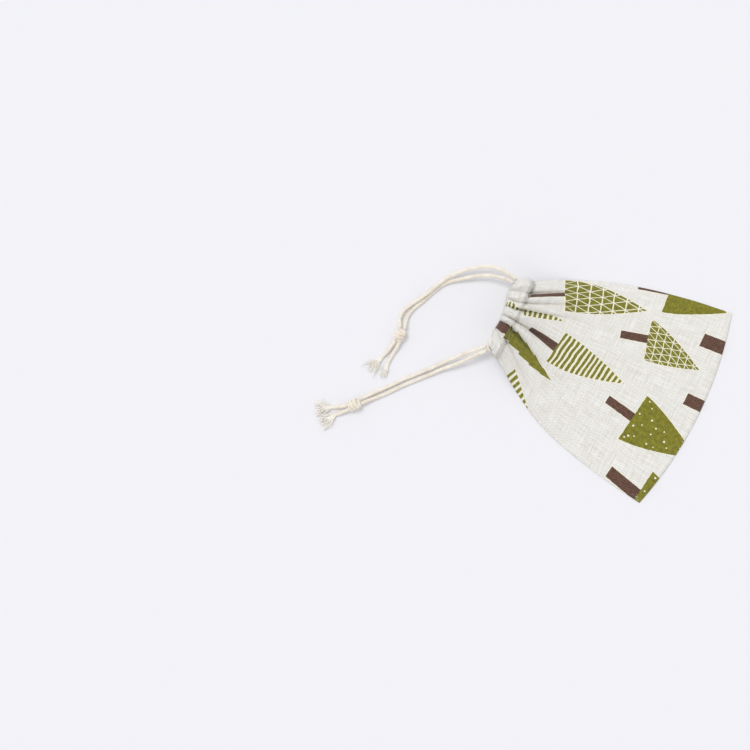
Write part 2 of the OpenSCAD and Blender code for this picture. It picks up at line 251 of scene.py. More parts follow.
def frames_along(path):
    """Tangent, side and up at each point of a path, each side taken from the one before."""
    t = np.gradient(path, axis=0)
    t /= np.linalg.norm(t, axis=1, keepdims=True)
    start = np.array([0.0, 0.0, 1.0]) if abs(t[0, 2]) < 0.8 else np.array([0.0, 1.0, 0.0])
    sides = [np.cross(t[0], start)]
    for here in t[1:]:
        kept = sides[-1] - here * (sides[-1] @ here)
        sides.append(kept / np.linalg.norm(kept))
    side = np.array(sides)
    side[0] /= np.linalg.norm(side[0])
    return t, side, np.cross(t, side)


def twisted_tube(path, length, diameter, turn=PLY_TURN, start_angle=0.0, taper=0.0):
    """Points and faces of a three-ply cord.

    The radius is d/2 (0.80 + 0.23 |cos 1.5 a|^0.8), which rises and falls three times round the
    path, and the angle a turns evenly with the length. Both ends are closed by a small dome.
    taper thins the last part of the cord."""
    count = len(path)
    _, side, up = frames_along(path)
    run = np.linspace(0, length, count)[:, None]
    angle = np.linspace(0, 2 * math.pi, PLY_ROUND, endpoint=False)[None, :]
    lobes = np.abs(np.cos(1.5 * (angle - 2 * math.pi * run / turn - start_angle)))
    dome = np.sqrt(np.clip(np.minimum(run, length - run) / (0.3 * diameter), 0.02, 1))
    thinner = 1 - taper * smooth_step(run, 0.6 * length, length)
    radius = diameter / 2 * (0.80 + 0.23 * lobes**0.8) * thinner * dome
    ring = path[:, None, :] + radius[..., None] * (
        np.cos(angle)[..., None] * side[:, None, :] + np.sin(angle)[..., None] * up[:, None, :])
    faces = grid_faces(count, PLY_ROUND, closed=True)
    caps = np.array([np.arange(PLY_ROUND)[::-1], (count - 1) * PLY_ROUND + np.arange(PLY_ROUND)])
    place = np.stack(np.broadcast_arrays(angle * diameter / 2, run), -1)
    return ring.reshape(-1, 3), faces, caps, place.reshape(-1, 2)


def join_tubes(name, tubes):
    """One piece from several tubes."""
    points, faces, caps, places, first = [], [], [], [], 0
    for ring, quads, ends, place in tubes:
        points.append(ring)
        faces.append(quads + first)
        caps.append(ends + first)
        places.append(place)
        first += len(ring)
    return new_piece(name, np.concatenate(points), [np.concatenate(faces), np.concatenate(caps)],
                     {"cord": np.concatenate(places)})


def cord_piece(name, route, start_angle):
    """A twisted cord along a route given in metres, and its length in metres."""
    path, length = smooth_curve(np.array(route) / MM, int(RINGS_PER_PLACE * len(route)))
    tube = twisted_tube(path, length, CORD_D, PLY_TURN, start_angle)
    return join_tubes(name, [tube]), length * MM


strands = {}
lengths = {}
for number, (name, route) in enumerate(ROUTES.items()):
    strands[name], lengths[name] = cord_piece(name + "_twist", route, 1.3 * number)
    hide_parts(name)
    print(name, round(lengths[name] * 1000, 1), "mm")

# %% [markdown]
# Inside the channel each cord is a flat loop round the mouth, which only shows at the slits. Each
# loop is made as a right and a left half.

# %% Cords inside the channels
SPLIT_X = 1.2  # mm to the right of the middle
hidden_cords = {}
for name, route in (("right_cord_in_channel", RIGHT_IN_CHANNEL), ("left_cord_in_channel", LEFT_IN_CHANNEL)):
    path, whole = smooth_curve(np.array(route) / MM, CHANNEL_RINGS)
    runs = np.split(path, np.flatnonzero(np.diff(path[:, 0] > SPLIT_X)) + 1)
    for side in ("right", "left"):
        kept = [run for run in runs if (run[:, 0].mean() > SPLIT_X) == (side == "right")]
        tubes = [twisted_tube(run, whole * len(run) / len(path), CORD_D) for run in kept]
        piece = join_tubes(f"{name}_{side}_half", tubes)
        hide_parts(name)
        hidden_cords[name, side] = piece

# %% [markdown]
# ## Knots, tails and frayed ends
# The two strands of each cord are tied together in one overhand knot, so the knot is a fat,
# slightly lopsided bundle of two cords that wrap round themselves. Beyond it the tails are the
# same cord, and their ends have come apart into a brush of fine wavy yarns.

# %% Knots
# centre in mm, heading in degrees, and size
KNOTS = {"right_cord": ((-39.6, 125.3, 4.0), 176, 1.0), "left_cord": ((-93.9, 132.2, 4.0), 137, 1.1)}
WRAP_R = 2.45  # from the knot's axis to the middle of a wrapped cord
WRAP_TURNS = 1.25
CORE_LONG = 8.4  # the two cords that run straight through the wraps


def knot_tubes(centre, turn_deg, size):
    """Two cords side by side that wrap tightly round a straight pair.

    A wrapped cord is a helix about the knot's axis: its angle makes one turn and a quarter, its
    distance from the axis rises from nearly nothing and falls again, and a sine lets it slip to
    and fro along the axis. The second one lies beside the first, one diameter further on."""
    turn = math.radians(turn_deg)
    axis = np.array([math.cos(turn), math.sin(turn), 0])
    across = np.array([-math.sin(turn), math.cos(turn), 0])
    up = np.array([0, 0, 1.0])
    s = np.linspace(0, 1, 90)[:, None]
    tubes = []
    for beside in (-1.15, 1.15):
        angle = 2 * math.pi * (WRAP_TURNS * s - 0.1)
        reach = WRAP_R * size * smooth_step(s, -0.05, 0.16) * (1 - smooth_step(s, 0.84, 1.05))
        slide = (s - 0.5) * 3.6 * size + beside * size + 1.4 * np.sin(angle)
        spoke = np.cos(angle) * across + 0.95 * np.sin(angle) * up
        path = np.array(centre) + slide * axis + reach * spoke
        run = float(np.linalg.norm(np.diff(path, axis=0), axis=1).sum())
        tubes.append(twisted_tube(path, run, CORD_D * 1.1, 2 * PLY_TURN, beside))
    core = CORE_LONG * size
    for apart in (-0.9, 0.9):
        path = np.array(centre) + (s - 0.5) * core * axis + apart * (1 - 0.2 * s) * across
        tubes.append(twisted_tube(path, core, CORD_D, PLY_TURN, apart))
    return tubes


knots = {}
for name, (centre, turn_deg, size) in KNOTS.items():
    knots[name] = join_tubes(name + "_overhand_knot", knot_tubes(centre, turn_deg, size))
    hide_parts(name + "_knot")
    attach(knots[name], name + "_end")

# %% Thin tubes
TUBE_SIDES = 6


def thin_tubes(name, lines, thick, off, round_mm, run):
    """One piece from many thin tubes with six sides, one along each line of points.

    lines holds (tube, point, xyz) and thick the radius at each point. A ring round a point is
    cos(a) flat + sin(a) high, two directions at right angles to the line; off is any direction
    that no line follows. The UV map gets round_mm for each radian, and run along the line."""
    count, long = lines.shape[:2]
    along = np.gradient(lines, axis=1)
    along /= np.linalg.norm(along, axis=2, keepdims=True)
    flat = np.cross(along, off)
    flat /= np.linalg.norm(flat, axis=2, keepdims=True)
    high = np.cross(flat, along)
    angle = np.linspace(0, 2 * math.pi, TUBE_SIDES, endpoint=False)[:, None]
    spoke = np.cos(angle) * flat[:, :, None] + np.sin(angle) * high[:, :, None]
    first = (TUBE_SIDES * long * np.arange(count))[:, None]
    faces = grid_faces(long, TUBE_SIDES, closed=True)[:, ::-1] + first[..., None]
    start_caps = first + np.arange(TUBE_SIDES)
    end_caps = (start_caps + TUBE_SIDES * (long - 1))[:, ::-1]
    shape = (count, long, TUBE_SIDES)
    place = [np.broadcast_to(angle[:, 0] * round_mm, shape), np.broadcast_to(run[:, None], shape)]
    return new_piece(name, lines[:, :, None] + thick[..., None] * spoke,
                     [faces.reshape(-1, 4), start_caps, end_caps], {"cord": np.stack(place, -1)})


# %% Tails and frayed ends
YARNS = 60  # yarns that show at each frayed end
YARN_POINTS = 12  # points along each yarn
YARN_R = 0.27  # mm, thicker than a real yarn, so that each one stands for a few
YARN_ROUND = 0.3  # mm of its UV map for each radian round a yarn
TAIL_TAPER = 0.45  # how much of a tail's thickness has gone at its end, where the yarns leave it
LOCKS = np.array([-0.75, 0.05, 0.8])  # how far each ply leans aside
FRAY_START = 4.5  # mm from the end of the tail back to where the plies come apart
# length and spread in mm of each brush of yarns
BRUSHES = {"right_cord_long": (13.5, 4.6), "right_cord_short": (11.0, 1.1),
           "left_cord_long": (14.0, 4.6), "left_cord_short": (14.0, 4.4)}
rng = np.random.default_rng(7)


def yarn_brush(name, start, heading, length, spread):
    """A brush of fine yarns in three loose locks, one from each ply of the cord.

    Each yarn leaves along the heading, leans with its lock as s^1.6, curls by a sine that
    grows as s^1.3, and never dips below the table."""
    each = (YARNS, 1, 1)
    s = np.linspace(0, 1, YARN_POINTS)[:, None]
    side = np.array([-heading[1], heading[0], 0])
    begin = start + rng.normal(0, 0.42, (YARNS, 1, 3)) * (1, 1, 0.6)
    lean = LOCKS[np.arange(YARNS) % 3][:, None, None] + rng.normal(0, 0.26, each)
    rise = rng.uniform(-0.3, 0.9, each)
    reach = rng.uniform(0.5, 1.0, each) * length
    phase = rng.random(each)
    curls = rng.uniform(0.7, 1.7, each)
    wave = rng.uniform(0.4, 1.3, each) * np.sin(2 * math.pi * (s * curls + phase)) * s**1.3
    path = (begin + s * reach * heading + (lean * spread * s**1.6 + wave) * side
            + (rise * spread * 0.5 * s**1.4 + 0.5 * wave) * np.array([0, 0, 1]))
    path[..., 2] = np.maximum(path[..., 2], 0.3)
    thick = YARN_R * (1 - 0.5 * s) * rng.uniform(0.7, 1.2, each)
    return thin_tubes(name, path, thick, [0.1, 0.05, 1.0], YARN_ROUND, s[:, 0] * length)


tails = {}
frays = {}
for number, (name, route) in enumerate(TAILS.items()):
    path, length = smooth_curve(np.array(route) / MM, TAIL_RINGS)
    tube = twisted_tube(path, length, CORD_D, PLY_TURN, number, TAIL_TAPER)
    tails[name] = join_tubes(name + "_tail_twist", [tube])
    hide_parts(name + "_tail")
    heading = path[-1] - path[-4]
    heading[2] = 0
    heading /= np.linalg.norm(heading)
    start = path[-1] - heading * FRAY_START
    frays[name] = yarn_brush(name + "_yarns", start, heading, *BRUSHES[name])
    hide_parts(name + "_fray")
    for piece in (tails[name], frays[name]):
        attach(piece, name.rsplit("_", 1)[0] + "_end")

# %% Bake the strands' places into their meshes
for side in ("right", "left"):
    for level, tail in (("upper", "long"), ("lower", "short")):
        name = f"{side}_cord_{level}_strand"
        route = ROUTES[name]
        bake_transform(strands[name])

# %% [markdown]
# ## The shape of the drawn cloth
# A drawn pouch is a fan: flat and full width at the bottom fold, bunched into deep pleats at the
# cords. The outline, the height of the cloth and the depth of the pleats are each a simple
# function of the distance from the bottom, and the pleats follow lines that spread from the mouth.
# A simulation would find its own pleats, so the pleats are placed by a short list of valleys.

# %% Outline and pleats
HEM_Y = 60.0  # where the channel is sewn, along the bag
CORNER_Y = -65.0  # the bottom corners
BOTTOM_BOW = 9.5  # how far the bottom fold bows out between them
HALF_FLAT = 70.0  # half the width of the cloth before it was gathered
CLOTH = 0.45  # thickness of the cloth
MIDDLE = -0.05  # share of the way across where the right and left halves of the cloth meet
FLAT_MIDDLE = 60.0 * MIDDLE  # the same line on the flat cloth
FRONT_DEPTH = 8.2  # depth of the pleats at the neck
BACK_DEPTH = 5.6
SEWN_GAP = 1.1  # between the two layers of a channel where they are sewn together
# (distance along the bag, half its width) from the bottom corners to the mouth
SIDE_LINE = np.array([(-65, 69.5), (-34, 65), (-2, 58), (23, 49.5), (44, 39), (55, 32), (62, 27.5),
                      (68, 23.5), (74.5, 23)])
# (share of the way across, distance along the bag) of the mouth edge
MOUTH_LINE = np.array([(-1, 69.6), (-0.6, 71.6), (-0.2, 71.2), (0.2, 72.2), (0.6, 74.2), (0.85, 73.6),
                       (1, 71.8)])
# (distance along the bag, height) of the front cloth between its pleats
CROWN_LINE = np.array([(-75, 2.2), (-55, 3.2), (-10, 4.6), (25, 5.8), (45, 7.6), (60, 12.0), (66, 15.5),
                       (75, 16)])
# where the valleys lie across the bag at the neck, from -1 at the left to 1 at the right, where
# they lie further down, and how large each pleat between two valleys is
FRONT_PLEATS = ([-1, -0.57, -0.27, -0.05, 0.25, 0.44, 0.68, 1],
                [-1, -0.74, -0.37, -0.05, 0.355, 0.56, 0.77, 1],
                [0.75, 0.85, 1.0, 1.15, 0.8, 0.85, 1.0])
BACK_PLEATS = ([-1, -0.72, -0.46, -0.25, -0.05, 0.16, 0.4, 0.66, 1],
               [-1, -0.78, -0.5, -0.27, -0.05, 0.2, 0.47, 0.76, 1],
               [0.9, 1.0, 0.85, 1.05, 0.9, 1.1, 0.9, 0.85])

side_curve, _ = smooth_curve(SIDE_LINE, 400)
mouth_curve, _ = smooth_curve(MOUTH_LINE, 200)


def half_width(y):
    """From the middle of the bag to its side, read from the smoothed side line."""
    return np.interp(y, *side_curve.T)


def mouth_edge(t):
    """How far along the bag its mouth edge is, read from the smoothed mouth line."""
    return np.interp(t, *mouth_curve.T)


def centre_line(y):
    """The drawn mouth sits a little to the right of the middle."""
    return 2.6 * smooth_step(y, 5, 66)


def bottom_y(t):
    """The bottom fold bows outwards between the corners as 1 - t^2."""
    return CORNER_Y - BOTTOM_BOW * (1 - t * t)


def pleat(t, y, at_neck, below, sizes):
    """0 in each valley and about 1 on each ridge: |sin|^0.45 arches between valleys that spread."""
    spread = np.clip((HEM_Y - y) / 22, -0.2, 1.3)
    place = np.zeros_like(t)
    for k in range(len(sizes)):
        low = at_neck[k] + (below[k] - at_neck[k]) * spread
        high = at_neck[k + 1] + (below[k + 1] - at_neck[k + 1]) * spread
        place = place + np.clip((t - low) / (high - low), 0, 1)
    arch = np.sqrt(np.sin(math.pi * place) ** 2 + 0.002) ** 0.45
    return arch * np.interp(place, np.arange(len(sizes)) + 0.5, sizes)


def gather(y):
    """How strongly the cloth is pleated: full at the cords, fading down the bag as exp(-d^1.3)."""
    return np.exp(-(np.clip(62 - y, 0, None) / 31) ** 1.3)


def ripples(t, y):
    """Small soft unevenness of the cloth between the pleats: three products of slow sines."""
    return (0.5 * np.sin(5.1 * t + 0.045 * y + 0.4) * np.sin(0.052 * y + 1.1 + 1.7 * t)
            + 0.3 * np.sin(11 * t - 0.06 * y + 2) * np.sin(0.083 * y + 0.3)
            + 0.16 * np.sin(23 * t + 0.11 * y) * np.sin(0.17 * y + 4 * t))


def puckers(t, y):
    """Short sharp wrinkles, two fast sines that fade away from the cords as exp(-d^2)."""
    near = np.exp(-((y - 65) / 7) ** 2)
    return near * (0.35 * np.sin(47 * t + 0.5 * y) + 0.3 * np.sin(31 * t - 0.8 * y + 1))


def pinch(t, y):
    """The stitching draws the cloth down in a narrow groove exp(-d^2), deepest at the right end."""
    return (1.8 + 5.0 * smooth_step(t, 0.5, 0.78)) * np.exp(-((y - HEM_Y - 1.2) / 1.2) ** 2)


def side_lumps(t, y):
    """The ends of the channels puff out at the slits as exp(-d^2), most of all on the right."""
    right = 4.0 * np.exp(-((y - 67.5) / 3.4) ** 2) * smooth_step(t, 0.45, 1)
    left = 1.6 * np.exp(-((y - 65) / 4.4) ** 2) * smooth_step(-t, 0.5, 1)
    return right - left


def across_at(t, y):
    """Where the share t of the way across the bag lies: middle + t * half width + lumps."""
    return centre_line(y) + t * half_width(y) + side_lumps(t, y)


# %% Heights of the cloth
def rim_height(y):
    """Height of the side seams: near the table, and half way up at the drawn mouth."""
    return 0.85 + 6.4 * smooth_step(y, 34, 64)


def front_height(t, y, share):
    """Crown of the front cloth with its pleats, rounded at the side seams and the bottom fold.

    Between the rims the cloth is lifted to crown + folds + unevenness, times (1 - |t|^3.6)^0.55.
    share is the way up from the fold, where the height starts as a quarter circle."""
    rim = rim_height(y)
    side = np.clip(1 - np.abs(t) ** 3.6, 0, 1) ** 0.55
    folds = FRONT_DEPTH * gather(y) * pleat(t, y, *FRONT_PLEATS) - pinch(t, y)
    uneven = (ripples(t, y) + puckers(t, y)) * smooth_step(share, 0, 0.12)
    lift = rim + (np.interp(y, *CROWN_LINE.T) + folds * np.clip(1 - t**10, 0, 1) + uneven - rim) * side
    fold = np.sqrt(np.clip(1 - (1 - np.clip(share / 0.02, 0, 1)) ** 2, 0, 1))
    return CLOTH + (lift - CLOTH) * fold


def channel_top(t, y):
    """The front channel's outer layer rises from its stitching to stand clear of both cords.

    The right end is blown up into a ball, a blunt bump exp(-x^4 - y^4) on top of the pleats."""
    folds = pleat(t, y, *FRONT_PLEATS)
    ball = 3.0 * np.exp(-((t - 0.8) / 0.2) ** 4 - ((y - 67.5) / 4.6) ** 4)
    full = 17.6 + 6.0 * folds + ball - 3.4 * smooth_step(np.abs(t), 0.82, 1) + puckers(t, y)
    base = front_height(t, y, 1)
    return base + (full - base) * smooth_step(y, HEM_Y + 0.8, 64.2)


def back_height(t, y, share):
    """The back lies on the table. Its sides rise to the rims as |t|^3.2, and it lifts in pleats and
    in a few low buckles, which fade out where the channel starts."""
    rise = (rim_height(y) - 0.75) * np.abs(t) ** 3.2
    folds = BACK_DEPTH * gather(y) * pleat(t, y, *BACK_PLEATS)
    buckle = 0.8 * np.clip(np.sin(0.13 * y + 3 * t) * np.sin(6 * t + 1), 0, 1) * smooth_step(share, 0.05, 0.3)
    return 0.02 + rise + (folds + buckle) * np.clip(1 - t**6, 0, 1) * (1 - smooth_step(y, 59, 64))


print("height at the neck", round(float(channel_top(np.array(0.1), np.array(66.0))), 1), "mm")


# %% Cloth sheets
def steps_across(count):
    """Even steps from the middle to the side seam, a little finer towards the seam."""
    reach = np.linspace(0, 1, count)
    return 1 - (1 - reach) ** 1.2


def cloth_places(grid, half, first_v):
    """The true cloth coordinates of a grid: lengths measured over the pleats, in mm.

    A print drawn on them is squeezed and hidden by the folds as it is on real cloth. Each row
    is scaled to the flat width, so that the side seam is everywhere at the cloth's own edge."""
    steps = np.linalg.norm(np.diff(grid, axis=1), axis=2)
    run = np.concatenate([np.zeros((len(grid), 1)), np.cumsum(steps, axis=1)], axis=1)
    u = FLAT_MIDDLE + half * run / run[:, -1:] * (HALF_FLAT - half * FLAT_MIDDLE)
    rise = np.linalg.norm(np.diff(grid, axis=0), axis=2).mean(axis=1)
    v = first_v + np.concatenate([[0], np.cumsum(rise)])
    return np.stack([u, np.broadcast_to(v[:, None], u.shape)], -1)


def panel_grid(half, back, across, along):
    """Half of the front or back cloth, from the bottom fold to the channel's stitching."""
    t = MIDDLE + steps_across(across) * (half - MIDDLE)
    share = np.linspace(0, 1, along) ** 1.15
    t, share = np.meshgrid(t, share)
    y = bottom_y(t) + (HEM_Y - bottom_y(t)) * share
    z = (back_height if back else front_height)(t, y, share)
    grid = np.stack([across_at(t, y), y, z], -1)
    places = cloth_places(grid, half, 0)
    places[..., 1] = y - CORNER_Y
    return grid, places


def channel_grid(half, back, across, round_it):
    """Half of a channel: out to the mouth edge, round it, and back inside to the stitching.

    Half way along, the two layers stand clear of both cords; at the stitching they meet."""
    t = MIDDLE + steps_across(across) * (half - MIDDLE)
    turn = np.linspace(0, 2 * math.pi, round_it)
    t, turn = np.meshgrid(t, turn)
    s = (1 - np.cos(turn)) / 2
    y = HEM_Y + (mouth_edge(t) - HEM_Y) * s
    inside = turn > math.pi
    apart = smooth_step(s, 0.02, 0.34)
    bulge = np.sqrt(np.clip(1 - (np.clip(s - 0.7, 0, None) / 0.3) ** 2, 0, 1))
    ends = smooth_step(np.abs(t), 0.82, 1)
    if back:
        outer = back_height(t, y, 1)
        clear = 6.5 + 1.2 * pleat(t, y, *BACK_PLEATS)
        gap = (SEWN_GAP * (1 - apart) + clear * apart) * (1 - 0.5 * ends)
    else:
        outer = channel_top(t, y)
        clear = outer - 11.2 + 0.8 * pleat(t, y, *FRONT_PLEATS)
        gap = -SEWN_GAP * (1 - apart) - clear * apart
    z = outer + gap * np.where(inside, 1 + bulge, 1 - bulge) / 2
    x = across_at(t, y) - np.sign(t) * np.where(inside, 5.5, 0) * ends * np.abs(np.sin(turn)) ** 0.5
    grid = np.stack([x, y, z], -1)
    return grid, cloth_places(grid, half, HEM_Y - CORNER_Y)


# %% [markdown]
# ## The print
# The print is a scatter of hand-cut trees: solid, striped, dotted, latticed and saw-toothed, each
# on a brown trunk. Each tree is a row in a list: what it is, where its trunk meets it, where its
# tip is, and how wide it is. Every point of the cloth learns its own place within its tree, and
# the material draws the tree from that, so edges stay crisp however the cloth is folded.

# %% Tree list
SOLID, STRIPED, DOTTED, LATTICE, SAW = 0, 1, 2, 3, 4
TREE_FACTS = ("tree_id", "tree_kind", "tree_wide", "tree_tall", "trunk_wide", "trunk_tall", "tree_ink")
# kind, the two feet (u, v), tip (u, v), trunk width, trunk length, ink (0 green, 1 mustard), in mm of
# cloth. The two striped rows near u = 17 are one tree that lies in a valley: a narrow crown that goes
# on into the channel, and a wider one over it towards the tip.
FRONT_TREES = [
    (LATTICE, (68, 109), (32, 101), (53, 51.5), 5.5, 23, 0),
    (SOLID, (91, 44.5), (55.5, 42.5), (69, 3.5), 9, 20, 0),
    (LATTICE, (48, 46), (18.5, 40), (27, 3.5), 6, 18, 0),
    (SOLID, (62, -12.5), (31, -12.5), (46, -56), 9, 23, 0),
    (SOLID, (21, -13.5), (-9, -13.5), (6, -58), 8, 17, 0),
    (DOTTED, (-4, 27), (-40.5, 31.5), (-26, -20), 6.5, 20.5, 0),
    (STRIPED, (12.5, 93.5), (-21, 97), (-3.5, 44), 9.5, 21, 0),
    (STRIPED, (22, 147), (12.5, 147), (19, 97), 0.1, 0.1, 0),
    (STRIPED, (23.5, 124.5), (10.5, 124.5), (21.5, 97), 0.1, 0.1, 0),
    (SAW, (-15, 132), (-41, 134), (-33, 88), 17, 19, 0),
    (STRIPED, (-55, 113), (-73, 116.5), (-70, 92), 0.1, 0.1, 0),
    (DOTTED, (-47.5, 1.5), (-85, 6), (-68, -45), 8.5, 24, 0),
]
BACK_TREES = [
    (DOTTED, (47, 38), (13, 42), (27, 92), 6.5, 21, 0),
    (STRIPED, (-15, 31), (-45, 29), (-27, 80), 6.5, 22, 0),
    (SOLID, (16, 72), (-12, 70), (0, 116), 6, 20, 1),
    (SAW, (64, 84), (42, 86), (51, 130), 6, 20, 0),
    (LATTICE, (-42, 78), (-74, 80), (-55, 130), 6.5, 22, 0),
    (SOLID, (74, 12), (44, 15), (60, 58), 6.5, 20, 0),
    (SAW, (6, -2), (-18, 0), (-4, 44), 6, 16, 0),
    (SOLID, (-46, -4), (-74, -2), (-62, 42), 6, 14, 1),
]


def print_places(uv, trees):
    """For each point, its place in mm within the tree that it belongs to, and that tree's facts.

    y is the distance from the line through the two feet, and x the distance along it from the
    middle. Above the feet x also slides with the lean of the tip."""
    place = np.zeros(uv.shape)
    facts = {key: np.zeros(uv.shape[:-1]) for key in TREE_FACTS}
    for number, (kind, foot, other_foot, tip, trunk_wide, trunk_tall, colour) in enumerate(trees):
        middle = np.add(foot, other_foot) / 2
        wide = float(np.hypot(*np.subtract(other_foot, foot)))
        along = np.subtract(other_foot, foot) / wide
        up = np.array([-along[1], along[0]])
        up = up * np.sign(up @ (tip - middle))
        tall = float(up @ (tip - middle))
        lean = float(along @ (tip - middle))
        y = (uv - middle) @ up
        x = (uv - middle) @ along - lean * np.clip(y, 0, None) / tall
        crown = wide / 2 * (1 - np.clip(y, 0, tall) / tall) + 2.5
        held = (np.abs(x) < np.where(y < -1.5, trunk_wide / 2 + 2.0, crown))
        held &= (y > -trunk_tall - 2.0) & (y < tall + 2.0)
        place[held] = np.stack([x, y], -1)[held]
        for key, fact in zip(TREE_FACTS, (number + 1, kind, wide, tall, trunk_wide, trunk_tall, colour)):
            facts[key][held] = fact
    return place, facts


# %% Panels and channels
# points across and along a panel, then across and round a channel
FRONT_GRIDS = ((150, 230), (180, 110))
BACK_GRIDS = ((110, 150), (130, 72))


def cloth_piece(name, grid, uv, half, back):
    """A printed sheet with its outer face away from the inside of the bag."""
    place, facts = print_places(uv, BACK_TREES if back else FRONT_TREES)
    inward = half if back else -half
    return sheet_piece(name, grid, CLOTH, {"cloth": uv, "print": place}, facts, inward)


panels = {}
channels = {}
for face, (panel_size, channel_size) in (("front", FRONT_GRIDS), ("back", BACK_GRIDS)):
    back = face == "back"
    for half, side in ((1, "right"), (-1, "left")):
        grid, uv = panel_grid(half, back, *panel_size)
        panels[face, side] = cloth_piece(f"{face}_panel_{side}_half", grid, uv, half, back)
        grid, uv = channel_grid(half, back, *channel_size)
        channels[face, side] = cloth_piece(f"{face}_channel_{side}_half", grid, uv, half, back)

# %% [markdown]
# ## Sewing
# A lockstitch shows as a row of short raised dashes. The row that holds each channel runs over
# the pleats, so its stitches are laid along the cloth's own surface. The side seams are sewn
# inside out, so their allowances and stitches are inside the pouch, with a tack at each slit.


# %% Stitches
THREAD_R = 0.16  # radius of the sewing thread in mm
STITCH_STEP = 3.0  # mm of cloth from one stitch to the next
STITCH_LONG = 2.2  # mm of thread that shows
CHANNEL_ROW = 1.2  # from the channel's edge up to its stitches


def stitch_row(name, lines):
    """Short round threads: each line of points gets a tube with pinched ends."""
    long = lines.shape[1]
    thick = np.full((1, long, 1), THREAD_R)
    thick[:, [0, -1]] *= 0.45
    return thin_tubes(name, lines, thick, [0.03, 0.02, 1.0], THREAD_R, np.linspace(0, STITCH_LONG, long))


def channel_stitches(half, back):
    """Stitches at even steps of flat cloth, that follow the channel's outer face over its pleats."""
    t = np.linspace(MIDDLE, half * 0.97, 1500)
    y = np.full_like(t, HEM_Y + CHANNEL_ROW)
    z = back_height(t, y, 1) - 0.02 if back else channel_top(t, y) + 0.12
    path = np.stack([across_at(t, y), y, z], -1)
    run = np.concatenate([[0], np.cumsum(np.linalg.norm(np.diff(path, axis=0), axis=1))])
    real = run / run[-1] * (HALF_FLAT - half * FLAT_MIDDLE)
    starts = np.arange(0.4, real[-1] - 2.4, STITCH_STEP)
    places = starts[:, None] + np.linspace(0, STITCH_LONG, 6)
    return np.stack([np.interp(places, real, path[:, k]) for k in range(3)], -1)


stitches = {}
for face in ("front", "back"):
    for half, side in ((1, "right"), (-1, "left")):
        name = f"{face}_channel_stitches_{side}_half"
        stitches[face, side] = stitch_row(name, channel_stitches(half, face == "back"))


# %% Side seams
RAW_EDGE = 8.4  # from the side of the bag to the raw edge of the allowance
SEAM_ROW = 2.4  # from the side of the bag to the row of stitches


def seam_place(half, y, inset):
    """A place inside a side seam: inset from the edge, lying on the back cloth."""
    t = half * (1 - inset / half_width(y))
    return np.stack([across_at(t, y), y, back_height(t, y, 0.5) + CLOTH + 0.1], -1)


allowances = {}
seam_rows = {}
tacks = {}
for half, side in ((1, "right"), (-1, "left")):
    inset, y = np.meshgrid(np.linspace(0.9, RAW_EDGE, 12), np.linspace(CORNER_Y + 1.5, HEM_Y - 0.5, 120))
    grid = seam_place(half, y, inset)
    grid[..., 2] += 0.1 * np.sin(0.5 * y) * (inset / RAW_EDGE) ** 2 + 0.5
    name = f"{side}_seam_allowance_layers"
    allowances[side] = sheet_piece(name, grid, 0.5, {"cloth": np.stack([inset, y], -1)}, {}, half)
    starts = np.arange(CORNER_Y + 2.5, HEM_Y - 3, STITCH_STEP)
    rows = starts[:, None] + np.linspace(0, STITCH_LONG, 5)
    seam_rows[side] = stitch_row(f"{side}_seam_stitches", seam_place(half, rows, SEAM_ROW) + [0, 0, 0.6])
    inset, rows = np.meshgrid(np.linspace(3.4, 7.4, 5), HEM_Y - 1.4 - 0.6 * np.arange(3))
    tacks[side] = stitch_row(f"{side}_slit_tack_stitches", seam_place(half, rows, inset) + [0, 0, 0.65])

# %% [markdown]
# ## Finishes
# The looks are all in the materials: a plain weave of uneven flax threads, a matt ink that is thin
# on the high threads, and soft cotton yarn. A few helpers keep each material short.

# %% Material helpers
def ink(hex_colour):
    """An sRGB hex colour as linear red, green, blue and alpha."""
    parts = [int(hex_colour[i:i + 2], 16) / 255 for i in (1, 3, 5)]
    return tuple(c / 12.92 if c <= 0.04045 else ((c + 0.055) / 1.055) ** 2.4 for c in parts) + (1.0,)


def add(tree, kind, inputs=(), **settings):
    """Adds a node with its settings, and sets or links its inputs, in order or by their keys.

    A node given as an input is linked by the first of its outputs that is in use."""
    made = tree.nodes.new(kind)
    for key, setting in settings.items():
        setattr(made, key, setting)
    pairs = inputs.items() if isinstance(inputs, dict) else enumerate(inputs)
    for key, given in pairs:
        if isinstance(given, bpy.types.Node):
            given = next(output for output in given.outputs if output.enabled)
        if isinstance(given, bpy.types.NodeSocket):
            tree.links.new(given, made.inputs[key])
        else:
            made.inputs[key].default_value = given
    return made


def new_material(name):
    """An empty node material with its Principled shader and output."""
    material = bpy.data.materials.new(name)
    material.use_nodes = True
    tree = material.node_tree
    tree.nodes.clear()
    shader = tree.nodes.new("ShaderNodeBsdfPrincipled")
    output = tree.nodes.new("ShaderNodeOutputMaterial")
    tree.links.new(shader.outputs[0], output.inputs[0])
    return material, tree, shader


MATH = "ShaderNodeMath"
VECTOR = "ShaderNodeVectorMath"
NOISE = "ShaderNodeTexNoise"
RANGE = "ShaderNodeMapRange"
SPLIT = "ShaderNodeSeparateXYZ"
ATTRIBUTE = "ShaderNodeAttribute"
MIX = "ShaderNodeMix"  # input 0 is the share, 2 and 3 are two numbers, 6 and 7 two colours
FLAX_BUMP = 0.00012  # how far the threads of the linen stand up, in metres
print("a mid grey in linear light:", round(ink("#808080")[0], 3))

# %% [markdown]
# ### The weave
# Linen is woven one over, one under, from flax threads of uneven thickness. Real threads could be
# modelled for a close-up, but here they are finer than the view can show, so a product of two
# sine waves on the cloth's own coordinates gives the over and under, and noise gives the slubs.

# %% Weave
THREAD = 0.72  # spacing of the threads in mm, a little coarser than real so that it shows


